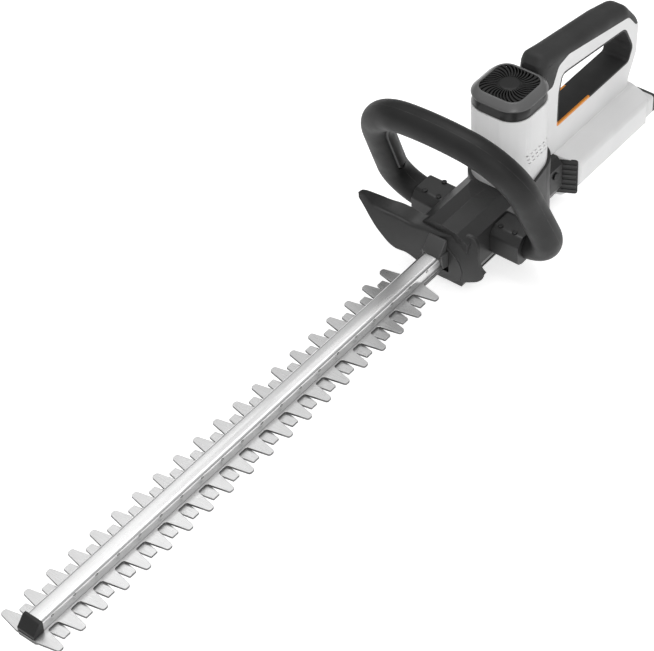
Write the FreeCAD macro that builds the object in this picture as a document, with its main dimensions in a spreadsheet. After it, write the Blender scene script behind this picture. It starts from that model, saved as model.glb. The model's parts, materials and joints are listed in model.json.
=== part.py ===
import FreeCAD, Part
import os
from math import atan, cos, degrees, pi, sin, tan

# Cordless hedge trimmer with a 510 mm dual-action blade.
# Outlines are drawn in the tool's own frame: X runs back from the centre of the first tooth,
# Y is across the tool (left is -Y) and Z is up from the top face of the upper blade.
# Each finished piece is then placed so that the model's origin is the middle of the footprint.

os.makedirs("parts", exist_ok=True)
V = FreeCAD.Vector
doc = FreeCAD.newDocument("hedge_trimmer")
sheet = doc.addObject("Spreadsheet::Sheet", "Sheet")

DIMENSIONS = [
    ("tip_x", -428.1, "first tooth, from the origin"),
    ("blade_z", 30.0, "top of the upper blade above the ground"),
    ("tooth_pitch", 26.5, "from tooth to tooth"),
    ("long_teeth", 20, "long teeth on each side"),
    ("long_reach", 33.0, "tip of a long tooth from the centre line"),
    ("short_reach", 25.2, "tip of a short tooth from the centre line"),
    ("short_step", 14.5, "short tooth behind the long one"),
    ("blade_root", 10.5, "half width of the blade between its teeth"),
    ("blade_thick", 2.4, "thickness of one blade"),
    ("blade_gap", 0.1, "running gap between sliding flats"),
    ("cam_throw", 5.0, "offset of each cam from the gear axis"),
    ("cam_radius", 10.0, "radius of both cams"),
    ("yoke_gap", 1.4, "room between a cam and its yoke"),
    ("gear_module", 0.8, "module of both gears"),
    ("gear_teeth", 55, "teeth of the drive gear"),
    ("pinion_teeth", 10, "teeth of the pinion"),
    ("gear_width", 6.0, "face width of the drive gear"),
    ("axle_radius", 3.0, "fixed axle of the drive gear"),
    ("shaft_radius", 2.4, "motor shaft"),
    ("motor_x", 662.0, "motor axis behind the first tooth"),
    ("motor_radius", 23.0, "motor can"),
    ("motor_length", 44.0, "height of the motor can"),
    ("rail_half", 8.7, "half width of the blade rail"),
    ("rail_height", 11.5, "height of the blade rail"),
    ("rail_wall", 1.8, "thickness of the rail's sheet"),
    ("rail_start", 5.0, "front end of the rail"),
    ("rail_end", 604.0, "rear end of the rail"),
    ("bolt_radius", 2.5, "rail bolts"),
    ("bolt_pitch", 110.0, "distance between rail bolts"),
    ("tower_half", 32.0, "half width of the motor tower"),
    ("tower_corner", 22.0, "corner radius of the motor tower"),
    ("tower_top", 115.0, "top of the white tower"),
    ("band_height", 10.5, "recessed band below the cap"),
    ("cap_height", 8.0, "bevelled cap over the band"),
    ("cap_half", 24.0, "half width of the cap's flat top"),
    ("cap_slots", 36, "cooling slots in the cap"),
    ("wall", 2.6, "moulded walls"),
    ("handle_width", 30.0, "width of the rear handle"),
    ("grip_round", 11.0, "rounding of the grip's edges"),
    ("liner_thick", 2.4, "lining of the hand hole"),
    ("trigger_width", 15.0, "width of the trigger"),
    ("pod_half", 40.0, "half width of the battery bay"),
    ("pod_end", 850.0, "rear face of the battery bay"),
    ("battery_half", 35.2, "half width of the battery"),
    ("battery_front", 738.0, "front face of the battery"),
    ("battery_rear", 864.0, "rear face of the battery"),
    ("case_front", 555.0, "front face of the gear case"),
    ("guard_front", 549.0, "front of the guard on the centre line"),
    ("guard_sweep", 0.0045, "forward sweep of the guard's wings, per mm of width squared"),
    ("guard_thick", 3.2, "thickness of the guard"),
    ("loop_radius", 14.8, "radius of the front handle's tube"),
    ("loop_x", 548.5, "top of the front handle"),
    ("loop_z", 151.0, "top of the front handle above the blade"),
    ("loop_lean", 0.42, "forward lean of the front handle, run over rise"),
]

for row, (alias, value, note) in enumerate(DIMENSIONS, start=1):
    sheet.set(f"A{row}", str(value))
    sheet.setAlias(f"A{row}", alias)
    sheet.set(f"B{row}", note)
doc.recompute()

dim = {alias: float(getattr(sheet, alias)) for alias, value, note in DIMENSIONS}
nodes = []


# ---- drawing helpers ----

def corner_arc(before, corner, after, radius):
    """Start, middle and end of the arc that rounds a corner."""
    p = V(*corner, 0)
    back = (V(*before, 0) - p).normalize()
    ahead = (V(*after, 0) - p).normalize()
    half = back.getAngle(ahead) / 2
    reach = radius / tan(half)
    bisector = (back + ahead).normalize()
    centre = p + bisector * (radius / sin(half))
    return p + back * reach, centre - bisector * radius, p + ahead * reach


def outline(points):
    """Closed outline through corners given as (a, b), or (a, b, radius) where rounded."""
    arcs = []
    count = len(points)
    for i, point in enumerate(points):
        corner = point[:2]
        if len(point) == 3:
            before = points[i - 1][:2]
            after = points[(i + 1) % count][:2]
            arcs.append(corner_arc(before, corner, after, point[2]))
        else:
            arcs.append((V(*corner, 0),) * 3)
    edges = []
    for i, (start, middle, end) in enumerate(arcs):
        if not start.isEqual(end, 1e-6):
            edges.append(Part.Arc(start, middle, end))
        following = arcs[(i + 1) % count][0]
        if not end.isEqual(following, 1e-6):
            edges.append(Part.LineSegment(end, following))
    return edges


def circle(x, y, radius):
    return [Part.Circle(V(x, y, 0), V(0, 0, 1), radius)]


def rounded_square(x, half, corner):
    """Rounded square centred on the middle plane."""
    return outline([(x - half, -half, corner), (x + half, -half, corner),
                    (x + half, half, corner), (x - half, half, corner)])


def mirrored(points):
    """Outline symmetric about the first axis from the corners on its positive side."""
    return points + [(p[0], -p[1], *p[2:]) for p in reversed(points)]


def mirrored_across(points):
    """Section symmetric about the second axis from the corners on its positive side."""
    return points + [(-p[0], *p[1:]) for p in reversed(points)]


def inset(points, distance):
    """Convex outline moved inwards; its corners run anticlockwise or clockwise."""
    count = len(points)
    area = sum(points[i - 1][0] * points[i][1] - points[i][0] * points[i - 1][1] for i in range(count))
    turn = 1 if area > 0 else -1
    lines = []
    for i, point in enumerate(points):
        a = V(*point[:2], 0)
        b = V(*points[(i + 1) % count][:2], 0)
        along = (b - a).normalize()
        inwards = V(-along.y, along.x, 0) * turn
        lines.append((a + inwards * distance, along))
    moved = []
    for i, point in enumerate(points):
        a, along = lines[i - 1]
        b, onward = lines[i]
        cross = along.x * onward.y - along.y * onward.x
        gap = b - a
        step = (gap.x * onward.y - gap.y * onward.x) / cross
        corner = a + along * step
        radius = max(point[2] - distance, 0.6) if len(point) == 3 else 0.6
        moved.append((corner.x, corner.y, radius))
    return moved


def add_sketch(body, name, role, geometry, offset=0.0):
    plane = next(f for f in body.Origin.OriginFeatures if f.Role == role)
    sketch = body.newObject("Sketcher::SketchObject", name)
    sketch.AttachmentSupport = [(plane, "")]
    sketch.MapMode = "FlatFace"
    sketch.AttachmentOffset = FreeCAD.Placement(V(0, 0, offset), FreeCAD.Rotation())
    sketch.addGeometry(geometry)
    return sketch


def prism(name, role, geometry, length, offset=0.0, symmetric=False):
    """Body padded from one sketch; the length is a number or a formula of sheet cells."""
    body = doc.addObject("PartDesign::Body", name)
    pad = body.newObject("PartDesign::Pad", name + "_pad")
    pad.Profile = add_sketch(body, name + "_sketch", role, geometry, offset)
    pad.SideType = "Symmetric" if symmetric else "One side"
    pad.setExpression("Length", str(length))
    return body


def across(name, points, length, holes=()):
    """Side outline (x, z) padded symmetrically across the tool."""
    geometry = outline(points)
    for hole in holes:
        geometry += hole
    return prism(name, "XZ_Plane", geometry, length, symmetric=True)


def upright(name, geometry, low, high):
    """Plan outline padded from one height to another."""
    return prism(name, "XY_Plane", geometry, high - low, low)


def lengthwise(name, geometry, front, back):
    """Front-view outline (y, z) padded along the tool."""
    return prism(name, "YZ_Plane", geometry, back - front, front)


def block(name, low, high):
    box = doc.addObject("Part::Box", name)
    box.Length, box.Width, box.Height = (b - a for a, b in zip(low, high))
    box.Placement.Base = V(*low)
    return box


def cylinder(name, base, radius, height, axis=(0, 0, 1)):
    """Cylinder whose radius and height are numbers or formulas of sheet cells."""
    rod = doc.addObject("Part::Cylinder", name)
    rod.setExpression("Radius", str(radius))
    rod.setExpression("Height", str(height))
    rod.Placement = FreeCAD.Placement(V(*base), FreeCAD.Rotation(V(0, 0, 1), V(*axis)))
    return rod


def fuse(name, *shapes):
    joined = doc.addObject("Part::MultiFuse", name)
    joined.Shapes = list(shapes)
    return joined


def cut(name, base, *tools):
    result = doc.addObject("Part::Cut", name)
    result.Base = base
    result.Tool = tools[0] if len(tools) == 1 else fuse(name + "_tools", *tools)
    return result


def common(name, first, second):
    result = doc.addObject("Part::Common", name)
    result.Base = first
    result.Tool = second
    return result


def group(name, *shapes):
    """Identical pieces kept as separate solids of one node."""
    compound = doc.addObject("Part::Compound", name)
    compound.Links = list(shapes)
    return compound


def finish(piece, label):
    """Label a finished piece and move it from the tool's frame to the model's."""
    piece.Label = label
    base = piece.Placement.Base
    piece.setExpression(".Placement.Base.x", f"Sheet.tip_x + {base.x}")
    piece.setExpression(".Placement.Base.z", f"Sheet.blade_z + {base.z}")
    nodes.append(piece)


# ---- blades ----

def comb(reach, shift, half_root, half_tip, tip_round):
    """One side of a toothed blade, from its front end to its yoke."""
    root = dim["blade_root"]
    side = []
    teeth = int(dim["long_teeth"]) - (1 if shift else 0)
    for i in range(teeth):
        x = i * dim["tooth_pitch"] + shift
        side += [(x - half_root, root, 2.5), (x - half_tip, reach, tip_round),
                 (x + half_tip, reach, tip_round), (x + half_root, root, 2.5)]
    return side


def gear_x():
    """Axis of the drive gear, one centre distance ahead of the motor."""
    return dim["motor_x"] - dim["gear_module"] * (dim["gear_teeth"] + dim["pinion_teeth"]) / 2


def blade(label, side, low):
    """Toothed bar with bolt slots, a forked front end and a crosswise yoke at the rear."""
    root = dim["blade_root"]
    axis = gear_x()
    half_yoke = dim["cam_radius"] + dim["cam_throw"] + dim["yoke_gap"] + 4.5
    front = side[0][0]
    body_side = [(front - 0.01, root)] if front > 0 else []
    tail = [(axis - 20, root, 8), (axis - 16, half_yoke, 4), (axis + 15.5, half_yoke, 4)]
    shape = outline(mirrored(body_side + side + tail))
    room = dim["bolt_radius"] + dim["cam_throw"] + 1
    for i in range(5):
        x = bolt_position(i)
        wide = dim["bolt_radius"] + 0.4
        shape += outline([(x - room, -wide, wide * 0.99), (x + room, -wide, wide * 0.99),
                          (x + room, wide, wide * 0.99), (x - room, wide, wide * 0.99)])
    span = dim["cam_throw"]
    slot = dim["cam_radius"] + dim["yoke_gap"]
    shape += outline([(axis - slot, -span - slot, slot * 0.99), (axis + slot, -span - slot, slot * 0.99),
                      (axis + slot, span + slot, slot * 0.99), (axis - slot, span + slot, slot * 0.99)])
    bar = prism(label + "_bar", "XY_Plane", shape, "Sheet.blade_thick", low)
    fork = block(label + "_fork", (-20, -3.8, -10), (9, 3.8, 5))
    finish(cut(label + "_cut", bar, fork), label)


def bolt_position(i):
    return 62 + i * dim["bolt_pitch"]


def blades():
    thick = dim["blade_thick"]
    blade("blade_upper", comb(dim["long_reach"], 0.0, 7.8, 3.1, 2.6), -thick)
    blade("blade_lower", comb(dim["short_reach"], dim["short_step"], 6.5, 4.0, 0.8),
          -2 * thick - dim["blade_gap"])


# ---- rail ----

def rail():
    """Inverted channel over the blades."""
    half, height, wall = dim["rail_half"], dim["rail_height"], dim["rail_wall"]
    low = dim["blade_gap"]
    section = outline([(-half, low), (-half + wall, low), (-half + wall, height - wall, 2),
                       (half - wall, height - wall, 2), (half - wall, low), (half, low),
                       (half, height, 3.6), (-half, height, 3.6)])
    finish(prism("rail_channel", "YZ_Plane", section, "Sheet.rail_end - Sheet.rail_start",
                 dim["rail_start"]), "blade_rail")


def rail_fixings():
    """Bushes inside the rail, the bolts screwed up into them and the bar they clamp."""
    bar_top = -2 * dim["blade_thick"] - 2 * dim["blade_gap"]
    bar = block("bar_flat", (22, -7, bar_top - 2), (560, 7, bar_top))
    bushes, bolts, holes = [], [], []
    for i in range(5):
        x = bolt_position(i)
        bush = cylinder(f"bush_{i}", (x, 0, 0.1), 5, "Sheet.rail_height - Sheet.rail_wall - 0.2")
        core = cylinder(f"bush_core_{i}", (x, 0, -1), "Sheet.bolt_radius", 8)
        bushes.append(cut(f"bush_bored_{i}", bush, core))
        shank = cylinder(f"shank_{i}", (x, 0, bar_top - 2.5), "Sheet.bolt_radius", 9.4)
        head = cylinder(f"head_{i}", (x, 0, bar_top - 5), "Sheet.bolt_radius + 2", 3)
        bolts.append(fuse(f"bolt_{i}", shank, head))
        holes.append(cylinder(f"bar_hole_{i}", (x, 0, -20), "Sheet.bolt_radius", 30))
    finish(cut("bar_drilled", bar, *holes), "lower_bar")
    finish(group("bushes", *bushes), "rail_bushes")
    finish(group("bolts", *bolts), "rail_bolts")


def tip_cap():
    """Nose over the rail's end, joined to its lower lip through the blades' forked ends."""
    nose = across("nose", [(-7, 0.6), (-7, 3, 2), (1.5, 12.4, 3), (5, 12.4), (5, 0.6)], 19.2)
    plug = block("nose_plug", (4.5, -6.2, 0.6), (14, 6.2, 8.6))
    post = block("nose_post", (-5, -3, -6), (1.5, 3, 1))
    lip = across("nose_lip", [(-7, -5.3), (5, -5.3), (5, -9), (-4, -9, 2)], 19.2)
    finish(fuse("nose_all", nose, plug, post, lip), "tip_cap")


# ---- gear train ----

def gear_outline(x, teeth, phase):
    """Straight-flanked teeth; phase is the angle of the first tooth as a part of one pitch."""
    module = dim["gear_module"]
    radius = module * teeth / 2
    step = 2 * pi / teeth
    levels = [(radius - 1.2 * module, -0.36), (radius - 0.05, -0.22), (radius + module, -0.11),
              (radius + module, 0.11), (radius - 0.05, 0.22), (radius - 1.2 * module, 0.36)]
    points = []
    for i in range(int(teeth)):
        for level, part in levels:
            angle = (i + phase + part) * step
            points.append((x + level * cos(angle), level * sin(angle)))
    return outline(points)


def drive_gear():
    """Gear with a hub and two opposed cams, one for each blade."""
    axis = gear_x()
    thick, gap = dim["blade_thick"], dim["blade_gap"]
    ring = prism("gear_ring", "XY_Plane", gear_outline(axis, dim["gear_teeth"], 0.5),
                 "Sheet.gear_width", 8)
    hub = cylinder("gear_hub", (axis, 0, gap), 7, 9 - gap)
    upper = cylinder("cam_upper", (axis, dim["cam_throw"], -thick), "Sheet.cam_radius", thick + gap)
    lower = cylinder("cam_lower", (axis, -dim["cam_throw"], -2 * thick - gap), "Sheet.cam_radius",
                     thick + gap)
    bore = cylinder("gear_bore", (axis, 0, -20), "Sheet.axle_radius + 0.05", 60)
    windows = []
    for i in range(5):
        angle = 2 * pi * i / 5
        windows.append(cylinder(f"gear_window_{i}", (axis + 14 * cos(angle), 14 * sin(angle), 5), 3.6, 12))
    solid = fuse("gear_solid", ring, hub, upper, lower)
    finish(cut("gear_done", solid, bore, *windows), "drive_gear")


def motor():
    """Can, rotor with its shaft, pinion and fan, all on the tower's axis."""
    x = dim["motor_x"]
    can = cylinder("can_outer", (x, 0, 52), "Sheet.motor_radius", "Sheet.motor_length")
    room = cylinder("can_room", (x, 0, 55), "Sheet.motor_radius - 7", "Sheet.motor_length - 6")
    bore = cylinder("can_bore", (x, 0, 40), "Sheet.shaft_radius + 0.05", 90)
    vents = []
    for i in range(6):
        angle = pi / 3 * i
        vents.append(cylinder(f"can_vent_{i}", (x + 10 * cos(angle), 10 * sin(angle), 45), 3, 70))
    finish(cut("can_done", can, room, bore, *vents), "motor_can")

    shaft = cylinder("shaft", (x, 0, 6.5), "Sheet.shaft_radius", 104)
    core = cylinder("rotor_core", (x, 0, 58), "Sheet.motor_radius - 8", "Sheet.motor_length - 12")
    finish(fuse("rotor_done", shaft, core), "motor_rotor")

    teeth = gear_outline(x, dim["pinion_teeth"], 0.0)
    pinion = prism("pinion_teeth", "XY_Plane", teeth + circle(x, 0, dim["shaft_radius"]), 8, 7)
    finish(pinion, "motor_pinion")

    hub = cylinder("fan_hub", (x, 0, 99), 6, 8)
    plate = cylinder("fan_plate", (x, 0, 99), 22, 1.6)
    vanes = []
    for i in range(9):
        vane = doc.addObject("Part::Box", f"fan_vane_{i}")
        vane.Length, vane.Width, vane.Height = 16, 1.2, 7
        turn = FreeCAD.Rotation(V(0, 0, 1), 40 * i)
        vane.Placement = FreeCAD.Placement(V(x, 0, 100) + turn.multVec(V(5.5, 0, 0)), turn)
        vanes.append(vane)
    fan = fuse("fan_solid", hub, plate, *vanes)
    finish(cut("fan_done", fan, cylinder("fan_bore", (x, 0, 90), "Sheet.shaft_radius", 30)), "motor_fan")


def gear_mounts():
    """Fixed axle, its bearings, the plate below the motor and the block that guides the yokes."""
    axis, x = gear_x(), dim["motor_x"]
    finish(cylinder("axle", (axis, 0, -25), "Sheet.axle_radius", 45), "gear_axle")

    plate = upright("plate_flat", outline(mirrored([(604, 25, 4), (688, 25, 4)])), 16.5, 20.5)
    holes = [cylinder("plate_axle", (axis, 0, 10), "Sheet.axle_radius", 20),
             cylinder("plate_shaft", (x, 0, 10), 6, 20)]
    finish(cut("plate_done", plate, *holes), "motor_plate")
    race = cylinder("race", (x, 0, 16.5), 6, 4)
    race_bore = cylinder("race_bore", (x, 0, 10), "Sheet.shaft_radius + 0.05", 20)
    finish(cut("race_done", race, race_bore), "shaft_bearing")

    guide = block("guide_block", (606, -24, -12), (664, 24, -5.1))
    guide_hole = cylinder("guide_axle", (axis, 0, -20), "Sheet.axle_radius", 30)
    relief = block("guide_relief", (600, -7.5, -20), (612, 7.5, 0))
    finish(cut("guide_done", guide, guide_hole, relief), "yoke_guide")


# ---- housing ----

HAND_HOLE = [(718.7, 50.2, 3), (720.3, 90, 25), (726, 110.6, 8), (835, 96.6, 13), (850, 66, 12),
             (843, 50.2, 6)]
SEAM = [(655, 35), (690, 46)]


def seam_below(name, drop, width):
    """Everything under the slanted line where the white tower meets the gear case."""
    (xa, za), (xb, zb) = SEAM
    side = [(500, -80), (500, za - drop), (xa, za - drop), (xb, zb - drop), (697, zb - drop),
            (697, 23), (714, 21), (714, -80)]
    return across(name, side, width)


def handle_solid():
    """Rear handle with its grip, edges rounded."""
    side = [(690, 10), (690, 112), (694, 134, 4), (701, 143.5, 7), (724, 139, 40), (808, 126, 60),
            (842, 117.5, 20), (866, 88, 25), (864, 52, 14), (851, 26, 6), (851, 10)]
    body = across("handle_side", side, "Sheet.handle_width")
    doc.recompute()
    edges = []
    for index, edge in enumerate(body.Shape.Edges, start=1):
        on_face = abs(abs(edge.CenterOfMass.y) - dim["handle_width"] / 2) < 0.01
        low, high = edge.BoundBox.ZMin, edge.BoundBox.ZMax
        if on_face and high > 26 and edge.BoundBox.XMax > 691 and low > 20:
            edges.append((index, dim["grip_round"], dim["grip_round"]))
    rounded = doc.addObject("Part::Fillet", "handle_round")
    rounded.Base = body
    rounded.Edges = edges
    return rounded


def white_region():
    """The part of the handle moulded in the white shell, below the soft grip."""
    side = [(680, 0), (680, 104), (711, 104, 5), (720.5, 122.4, 8), (737, 126.2, 8),
            (840, 106.4, 12), (853, 90, 8), (880, 78), (880, 0)]
    return across("white_region", side, 60)


def pod_solid():
    """Battery bay: a bevelled section trimmed to its plan."""
    half = dim["pod_half"]
    section = mirrored_across([(15, 20.5, 20), (half, 11.7, 6), (half, -13.6, 6), (24, -30, 5)])
    bar = lengthwise("pod_bar", outline(section), 710, dim["pod_end"])
    plan = outline(mirrored([(714, 15), (726, half + 0.2, 4), (dim["pod_end"], half + 0.2, 14)]))
    return common("pod_trim", bar, upright("pod_plan", plan, -40, 30))


def battery_section(gap):
    """Section of the battery, or of its bay where the gap is the room around it."""
    half = dim["battery_half"] + gap
    return outline(mirrored_across([(half, 7 + gap, 3), (half, -14.2 - gap / 2, 3), (23.6, -25.8 - gap, 3)]))


def trigger_slot():
    return across("trigger_slot", [(728, 90), (728, 129, 3), (738, 131, 3), (800, 121, 3), (800, 90)],
                  "Sheet.trigger_width + 1.8")


def switch_room():
    return across("switch_room", [(799.5, 105), (799.5, 119), (822, 116), (822, 102.5)], 16)


def housing(frame, rooms):
    """White clamshell: tower, handle frame and battery bay, split down the middle."""
    x, half, corner = dim["motor_x"], dim["tower_half"], dim["tower_corner"]
    wall = dim["wall"]
    tower = prism("tower", "XY_Plane", rounded_square(x, half, corner), "Sheet.tower_top - 20", 20)
    shell = fuse("shell_outer", tower, frame, pod_solid())
    hollows = [
        seam_below("seam_cut", 4, 120),
        across("hand_hole", HAND_HOLE, 80),
        upright("tower_room", rounded_square(x, half - wall, corner - wall), 10, dim["tower_top"] + 1),
        lengthwise("bay_room", battery_section(0.3), dim["battery_front"] - 10, 900),
        block("bay_front", (700, -24, -21), (730, 24, 8)),
        block("board_room", (728, -13, 8), (800, 13, 16)),
        *rooms,
        across("wire_room", [(698, 30), (698, 100), (708, 100, 5), (715, 84, 5), (714, 30)], 20),
    ]
    solid = cut("shell_hollow", shell, *hollows)
    vents = vent_slots()
    solid = cut("shell_vented", solid, *vents)
    halves("shell", solid, "housing")


def vent_slots():
    """Rows of short slots along both sides of the tower."""
    slots = []
    for side in (-1, 1):
        for row in range(3):
            for column in range(6):
                x = 646.5 + 6.4 * column + 1.8 * row
                z = 70.6 - 5.2 * row
                slot = doc.addObject("Part::Box", f"vent_{side + 1}_{row}_{column}")
                slot.Length, slot.Width, slot.Height = 3.4, 10, 1.3
                turn = FreeCAD.Rotation(V(0, 1, 0), 12)
                slot.Placement = FreeCAD.Placement(V(x - 1.7, side * 29 - 5, z), turn)
                slots.append(slot)
    return slots


def halves(name, solid, label):
    """Left and right halves that meet on the middle plane."""
    left = block(name + "_left_space", (450, -150, -60), (900, 0, 200))
    right = block(name + "_right_space", (450, 0, -60), (900, 150, 200))
    finish(common(name + "_left", solid, left), label + "_left")
    finish(common(name + "_right", solid, right), label + "_right")


def grip(handle, white, rooms):
    """Soft black grip over the top of the handle, cleared for the motor cap."""
    cap_plan = rounded_square(dim["motor_x"], dim["tower_half"] + 0.3, dim["tower_corner"])
    cap_room = upright("cap_room", cap_plan, 90, 134.2)
    finish(cut("grip_solid", handle, white, cap_room, *rooms), "grip_overmould")


def liner(slot):
    """Dark lining of the hand hole with a bright strip let into each lower front edge."""
    inner = inset(HAND_HOLE, dim["liner_thick"])
    ring = across("liner_ring", HAND_HOLE, "Sheet.handle_width", [outline(inner)])
    strip_zone = fuse("strip_zone",
                      block("strip_left_zone", (700, -20, 40), (775, -12.6, 56)),
                      block("strip_right_zone", (700, 12.6, 40), (775, 20, 56)))
    finish(cut("liner_done", ring, strip_zone, slot), "handle_liner")
    finish(common("strips_done", ring, strip_zone), "accent_strips")


def trigger_set():
    """Trigger on its pin, the switch behind it and the torsion spring around the pin."""
    side = [(731, 97, 4), (785, 95, 5), (796, 100, 3), (796, 109, 3), (770, 113.5), (733, 119, 3)]
    body = across("trigger_side", side, "Sheet.trigger_width")
    pin_hole = cylinder("trigger_hole", (788, -10, 104.5), 1.55, 20, (0, 1, 0))
    spring_room = cylinder("spring_room", (788, -3.5, 104.5), 4.2, 7, (0, 1, 0))
    finish(cut("trigger_done", body, pin_hole, spring_room), "trigger")
    finish(cylinder("trigger_pin_rod", (788, -8.4, 104.5), 1.5, 16.8, (0, 1, 0)), "trigger_pin")
    coils = []
    for i in range(4):
        coil = doc.addObject("Part::Torus", f"spring_coil_{i}")
        coil.Radius1, coil.Radius2 = 2.8, 0.5
        coil.Placement = FreeCAD.Placement(V(788, -1.8 + 1.2 * i, 104.5), FreeCAD.Rotation(V(1, 0, 0), 90))
        coils.append(coil)
    finish(group("coils", *coils), "trigger_spring")
    finish(block("switch_box", (801, -6, 106), (820, 6, 114.5)), "trigger_switch")


def cap():
    """Recessed band and the bevelled, slotted cap on top of the tower."""
    x, half, corner = dim["motor_x"], dim["tower_half"], dim["tower_corner"]
    top = dim["tower_top"]
    band_top = top + dim["band_height"]
    band = prism("band", "XY_Plane", rounded_square(x, half - 1, corner - 1)
                 + rounded_square(x, half - 5, corner - 5), "Sheet.band_height", top)
    finish(band, "cap_band")

    body = doc.addObject("PartDesign::Body", "cap_body")
    low = add_sketch(body, "cap_low", "XY_Plane", rounded_square(x, half, corner), band_top)
    high = add_sketch(body, "cap_high", "XY_Plane", rounded_square(x, dim["cap_half"], corner - 7),
                      band_top + dim["cap_height"])
    loft = body.newObject("PartDesign::AdditiveLoft", "cap_loft")
    loft.Profile = low
    loft.Sections = [high]
    hollow = body.newObject("PartDesign::Pocket", "cap_hollow")
    hollow.Profile = add_sketch(body, "cap_hollow_sketch", "XY_Plane", circle(x, 0, 23.5), band_top)
    hollow.Length = dim["cap_height"] - 2
    hollow.Reversed = True
    slots = []
    count = int(dim["cap_slots"])
    for i in range(count):
        slot = doc.addObject("Part::Box", f"cap_slot_{i}")
        slot.Length, slot.Width, slot.Height = 11, 1.7, 12
        turn = FreeCAD.Rotation(V(0, 0, 1), 360 / count * (i + 0.5))
        slot.Placement = FreeCAD.Placement(V(x, 0, band_top + 2) + turn.multVec(V(11, -0.85, 0)), turn)
        slots.append(slot)
    finish(cut("cap_done", body, *slots), "motor_cap")


# ---- gear case, neck and arms ----

def gear_case():
    """Black lower casing: nose, collar round the tower and neck to the battery bay."""
    x = dim["motor_x"]
    front = dim["case_front"]
    section = mirrored_across([(0, 36), (17, 33), (29, 25), (30, -11), (22, -30)])
    nose = lengthwise("case_nose", outline(section), front, 642)
    base = upright("case_base", rounded_square(x, dim["tower_half"] + 3, dim["tower_corner"] + 2), -30, 46)
    neck_section = mirrored_across([(20, 21), (26, 14), (26, -13), (18, -29)])
    neck = lengthwise("case_neck", outline(neck_section), 690, 713.7)
    outer = fuse("case_outer", nose, base, neck)
    (xa, za), (xb, zb) = SEAM
    above = across("case_above", [(600, 36.2), (626, 31.8), (645, 33.2), (xa, za), (xb, zb), (697, zb),
                                  (697, 90), (600, 90)], 120)
    pocket = cut("case_pocket",
                 upright("pocket_square", rounded_square(x, dim["tower_half"] + 0.1, dim["tower_corner"]),
                         20, 80),
                 seam_below("pocket_floor", 4, 120))
    rooms = [
        block("case_room", (562, -26, -26), (694, 26, 22)),
        cylinder("case_well", (x, 0, 20), 25, 40),
        block("case_duct", (690, -20, -21), (720, 20, 12)),
        block("case_mouth", (540, -11.8, -12.5), (565, 11.8, 12.4)),
        block("case_floor", (570, -19, -40), (688, 19, -20)),
        block("case_notch", (693, -15.2, 41.8), (700, 15.2, 60)),
    ]
    halves("case", cut("case_done", outer, above, pocket, *rooms), "gear_case")
    plate = block("floor_plate", (570, -19, -30), (688, 19, -26.5))
    finish(plate, "base_plate")
    return outer


def guard():
    """Swept shield in front of the gear case with a flange along its upper edge."""
    lower = [(7, -23, 4), (16, -20.5, 6), (26, -13, 5), (34, -8, 3), (44, -1.5, 8), (55, 12, 30)]
    left_lower = [(-p[0], *p[1:]) for p in reversed(lower)]
    right_side = [(65, 31, 20), (73.5, 61, 2.5), (67, 50.5, 20), (53, 39.5, 20), (40, 35.5, 10), (28, 29, 8)]
    left_side = [(-28, 28.5, 8), (-40, 33, 10), (-58, 36, 4), (-69.5, 33.5, 2.5)]
    face = outline(left_lower + lower + right_side + left_side)
    solid = common("guard_blank", guard_band("guard_deep", 0, 18), lengthwise("guard_face", face, 480, 620))
    under = outline([(-90, -60), (90, -60), (90, 62), (76, 57), (67, 47, 20), (54, 36.5, 20), (41, 32.5, 8),
                     (28, 26, 8), (-28, 25.5, 8), (-42, 30, 8), (-58, 33), (-90, 31)])
    hollow = common("guard_hollow", guard_band("guard_inner", dim["guard_thick"], 40),
                    lengthwise("guard_under", under, 480, 640))
    pad = block("guard_pad", (dim["guard_front"] + 1, -24, -19), (dim["case_front"], 24, 24))
    mouth = block("guard_mouth", (480, -11.8, -12.5), (600, 11.8, 12.4))
    clear = block("guard_clear", (dim["case_front"], -60, -80), (700, 60, 80))
    shell = cut("guard_shell", solid, hollow)
    finish(cut("guard_done", fuse("guard_solid", shell, pad), mouth, clear), "front_guard")


def guard_band(name, start, depth):
    """Curved band between two surfaces parallel to the guard's front."""
    half = 78.0
    sweep = dim["guard_sweep"] * half * half
    near = dim["guard_front"] + start
    far = dim["guard_front"] + depth
    arc = Part.Arc(V(near - sweep, -half, 0), V(near, 0, 0), V(near - sweep, half, 0))
    rear = Part.Arc(V(far - sweep, -half, 0), V(far, 0, 0), V(far - sweep, half, 0))
    ends = [Part.LineSegment(V(near - sweep, side * half, 0), V(far - sweep, side * half, 0))
            for side in (-1, 1)]
    return upright(name, [arc, ends[1], rear, ends[0]], -40, 80)


# ---- front handle ----

# Corners of the handle's centre line in its own plane: down from the top, across, rounding.
LOOP = [(164.0, -49.4), (145.3, -90.6, 38.9), (8.1, -78.9, 59.6), (-4.3, 0, 200),
        (8.1, 78.9, 59.6), (145.3, 90.6, 38.9), (164.0, 49.4)]


def lean_back(piece, lift=0.0):
    """Put a piece drawn in the front handle's plane where the leaning handle is."""
    lean = atan(dim["loop_lean"])
    top = V(dim["loop_x"], 0, dim["loop_z"])
    normal = V(cos(lean), 0, sin(lean))
    piece.Placement = FreeCAD.Placement(top + normal * lift, FreeCAD.Rotation(V(0, 1, 0), 90 - degrees(lean)))
    return piece


def in_handle_plane(name, geometry, thick):
    return lean_back(prism(name, "XY_Plane", geometry, thick, symmetric=True))


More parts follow.
